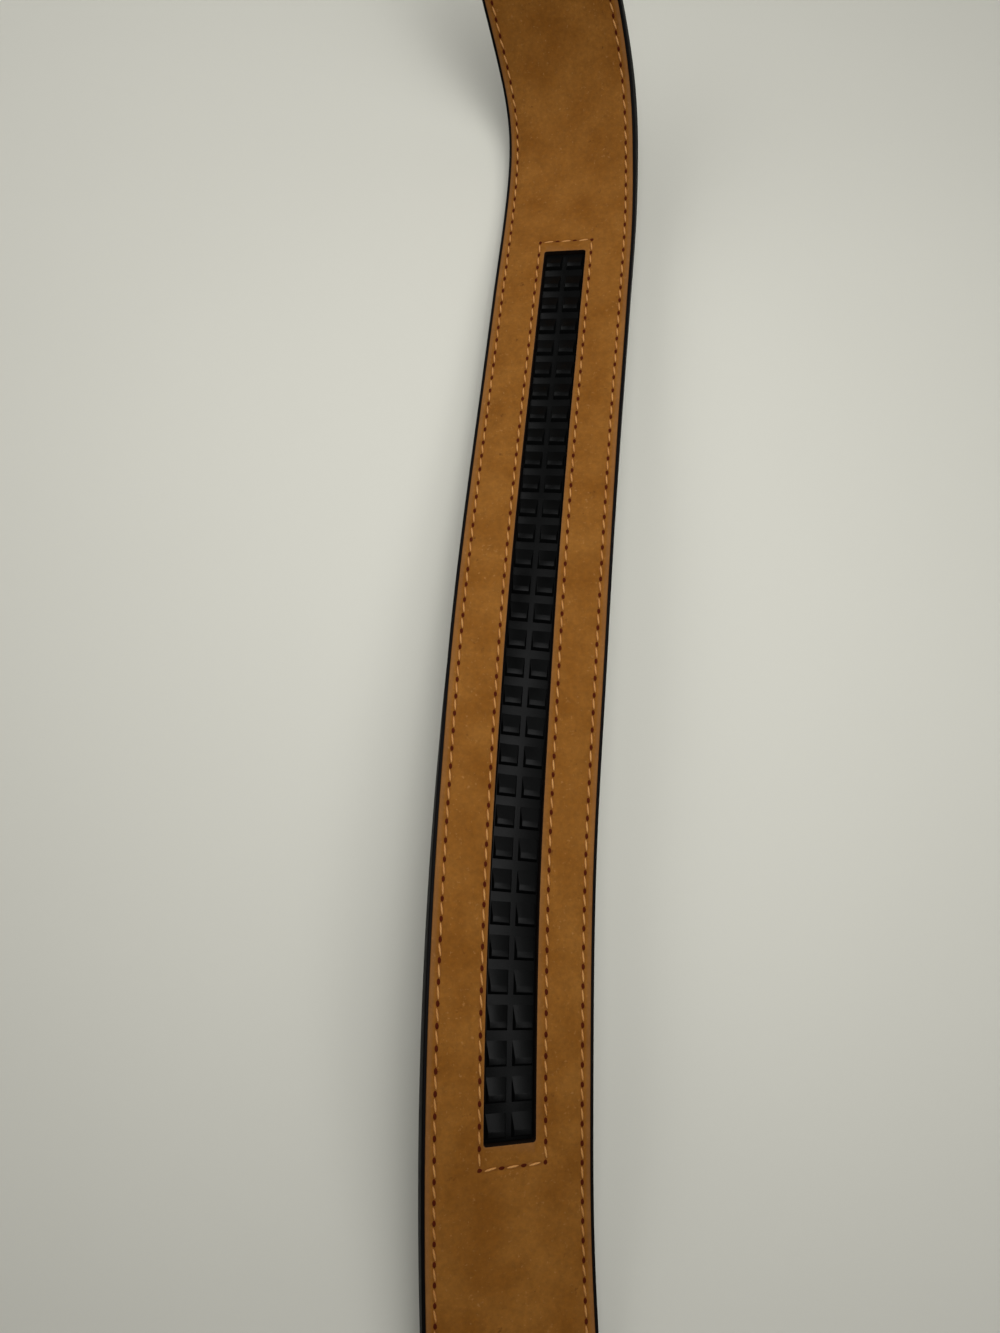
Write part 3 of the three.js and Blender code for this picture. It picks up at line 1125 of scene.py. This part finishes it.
def buckle():
    """A plate with two side walls, a bridge and the jaw that grips the strap's end."""
    front = PLATE_BACK - PLATE_LENGTH
    half = PLATE_WIDTH / 2
    plate = start_block("ratchet_buckle", (-half, front, 0), (half, PLATE_BACK, PLATE_THICKNESS))
    pick(plate, "EDGE", lambda edge: abs(edge.verts[0].co.z - edge.verts[1].co.z) > PLATE_THICKNESS / 2)
    bpy.ops.mesh.bevel(offset=PLATE_CORNER, segments=8)
    pick_sharp(plate)
    bpy.ops.mesh.bevel(offset=PLATE_ROUND, segments=4)

    wall_front = front + WALL_INSET
    top = PASSAGE_TOP + BRIDGE_THICKNESS
    rooted = PLATE_THICKNESS / 2
    inner = PASSAGE_WIDTH / 2
    outer = inner + WALL_THICKNESS
    wall = start_block("wall", (inner, wall_front, rooted), (outer, CLAMP_DEPTH, top))
    cut(wall, [wall_front + WALL_SLOPE, CLAMP_DEPTH - WALL_SLOPE], (0, 1, 0))
    pick(wall, "VERT", lambda vert: vert.co.z > top - TINY and vert.co.y < wall_front + TINY)
    move_picked(height=-WALL_SLOPE / 2)
    pick(wall, "VERT", lambda vert: vert.co.z > top - TINY and vert.co.y > CLAMP_DEPTH - TINY)
    move_picked(height=JAW_BOTTOM + JAW_THICKNESS - top)
    pick_sharp(wall, lambda end: end.z > rooted + TINY)
    bpy.ops.mesh.bevel(offset=METAL_ROUND, segments=3)
    apply_modifier(wall, "MIRROR", use_mirror_merge=False)
    face_outwards(wall)

    bridge_front = wall_front + WALL_SLOPE
    bridge = start_block(
        "bridge",
        (-outer + METAL_ROUND, bridge_front, PASSAGE_TOP),
        (outer - METAL_ROUND, bridge_front + BRIDGE_LENGTH, top),
    )
    jaw = start_block(
        "jaw",
        (-outer + METAL_ROUND, 0, JAW_BOTTOM),
        (outer - METAL_ROUND, CLAMP_DEPTH, JAW_BOTTOM + JAW_THICKNESS),
    )
    for bar in (bridge, jaw):
        activate(bar)
        bpy.ops.object.mode_set(mode="EDIT")
        pick_sharp(bar)
        bpy.ops.mesh.bevel(offset=METAL_ROUND, segments=3)
    for other in (wall, bridge, jaw):
        apply_modifier(plate, "BOOLEAN", object=other, operation="UNION", solver="EXACT")
        deselect()
        bpy.data.objects.remove(other)
    deselect()
    plate.data.transform(Matrix.Translation((middle[0].x, middle[0].y, 0)))
    finish_faces(plate, [(satin_zinc(), everywhere)], angle=30)
    belongs(plate, "satin_metal", "buckle")


def floor():
    piece = start_piece("floor", bpy.ops.mesh.primitive_plane_add, size=FLOOR_SIZE)
    deselect()
    finish_faces(piece, [(matt_board(), everywhere)])


def softbox(name, place, target, size, power, spread):
    """A square lamp turned to its target, with the power in watts and the spread in degrees."""
    lamp = bpy.data.lights.new(name, "AREA")
    lamp.shape = "SQUARE"
    lamp.size = size
    lamp.energy = power
    lamp.spread = math.radians(spread)
    holder = bpy.data.objects.new(name, lamp)
    bpy.context.collection.objects.link(holder)
    holder.visible_camera = False
    holder.location = place
    holder.rotation_euler = (Vector(target) - Vector(place)).to_track_quat("-Z", "Y").to_euler()


def lights():
    """Softboxes round the slot and the tip, over the flat stretch and beside the buckle."""
    world = bpy.data.worlds.new("studio")
    world.use_nodes = True
    room = world.node_tree.nodes["Background"].inputs
    room["Color"].default_value = linear("#F6F4EE")
    room["Strength"].default_value = ROOM_LIGHT
    bpy.context.scene.world = world
    slot = (0, 0.5, 0)
    near = (0, 0.42, 0)
    flat = (0, -0.08, 0)
    clasp = (0, -0.45, 0)
    softbox("top_softbox", (0.34, 0.46, 0.86), slot, size=0.8, power=0.45, spread=60)
    softbox("far_softbox", (0.12, 0.82, 0.85), slot, size=0.45, power=0.13, spread=60)
    softbox("right_softbox", (0.45, 0.9, 0.45), slot, size=0.4, power=0.07, spread=80)
    softbox("left_softbox", (-0.4, 0.85, 0.4), slot, size=0.4, power=0.34, spread=80)
    softbox("near_softbox", (0.02, 0.42, 0.34), near, size=0.2, power=0.11, spread=90)
    softbox("back_softbox", (0.5, 0.1, 0.65), slot, size=0.3, power=0.1, spread=60)
    softbox("middle_softbox", (0, -0.08, 0.75), flat, size=0.2, power=0.12, spread=40)
    softbox("buckle_softbox", (0.35, -0.3, 0.6), clasp, size=0.5, power=0.85, spread=80)


def camera():
    """Held above the belt at the viewer's end of the slot, looking down along the strap."""
    image_height = 1333
    focal_length_in_pixels = 1078
    down = math.radians(74)
    place = (-8.9 * MM, 335.3 * MM, 246.1 * MM)
    bpy.ops.object.camera_add(location=place, rotation=(math.pi / 2 - down, 0, 0))
    holder = bpy.context.object
    holder.data.sensor_width = 36
    holder.data.lens = holder.data.sensor_width * focal_length_in_pixels / image_height
    holder.data.clip_start = 10 * MM
    bpy.context.scene.camera = holder


bpy.context.scene.view_settings.view_transform = "Standard"
deselect()
camera()
lights()
floor()
outer_leather()
lining()
track()
thread()
needle_holes()
buckle()
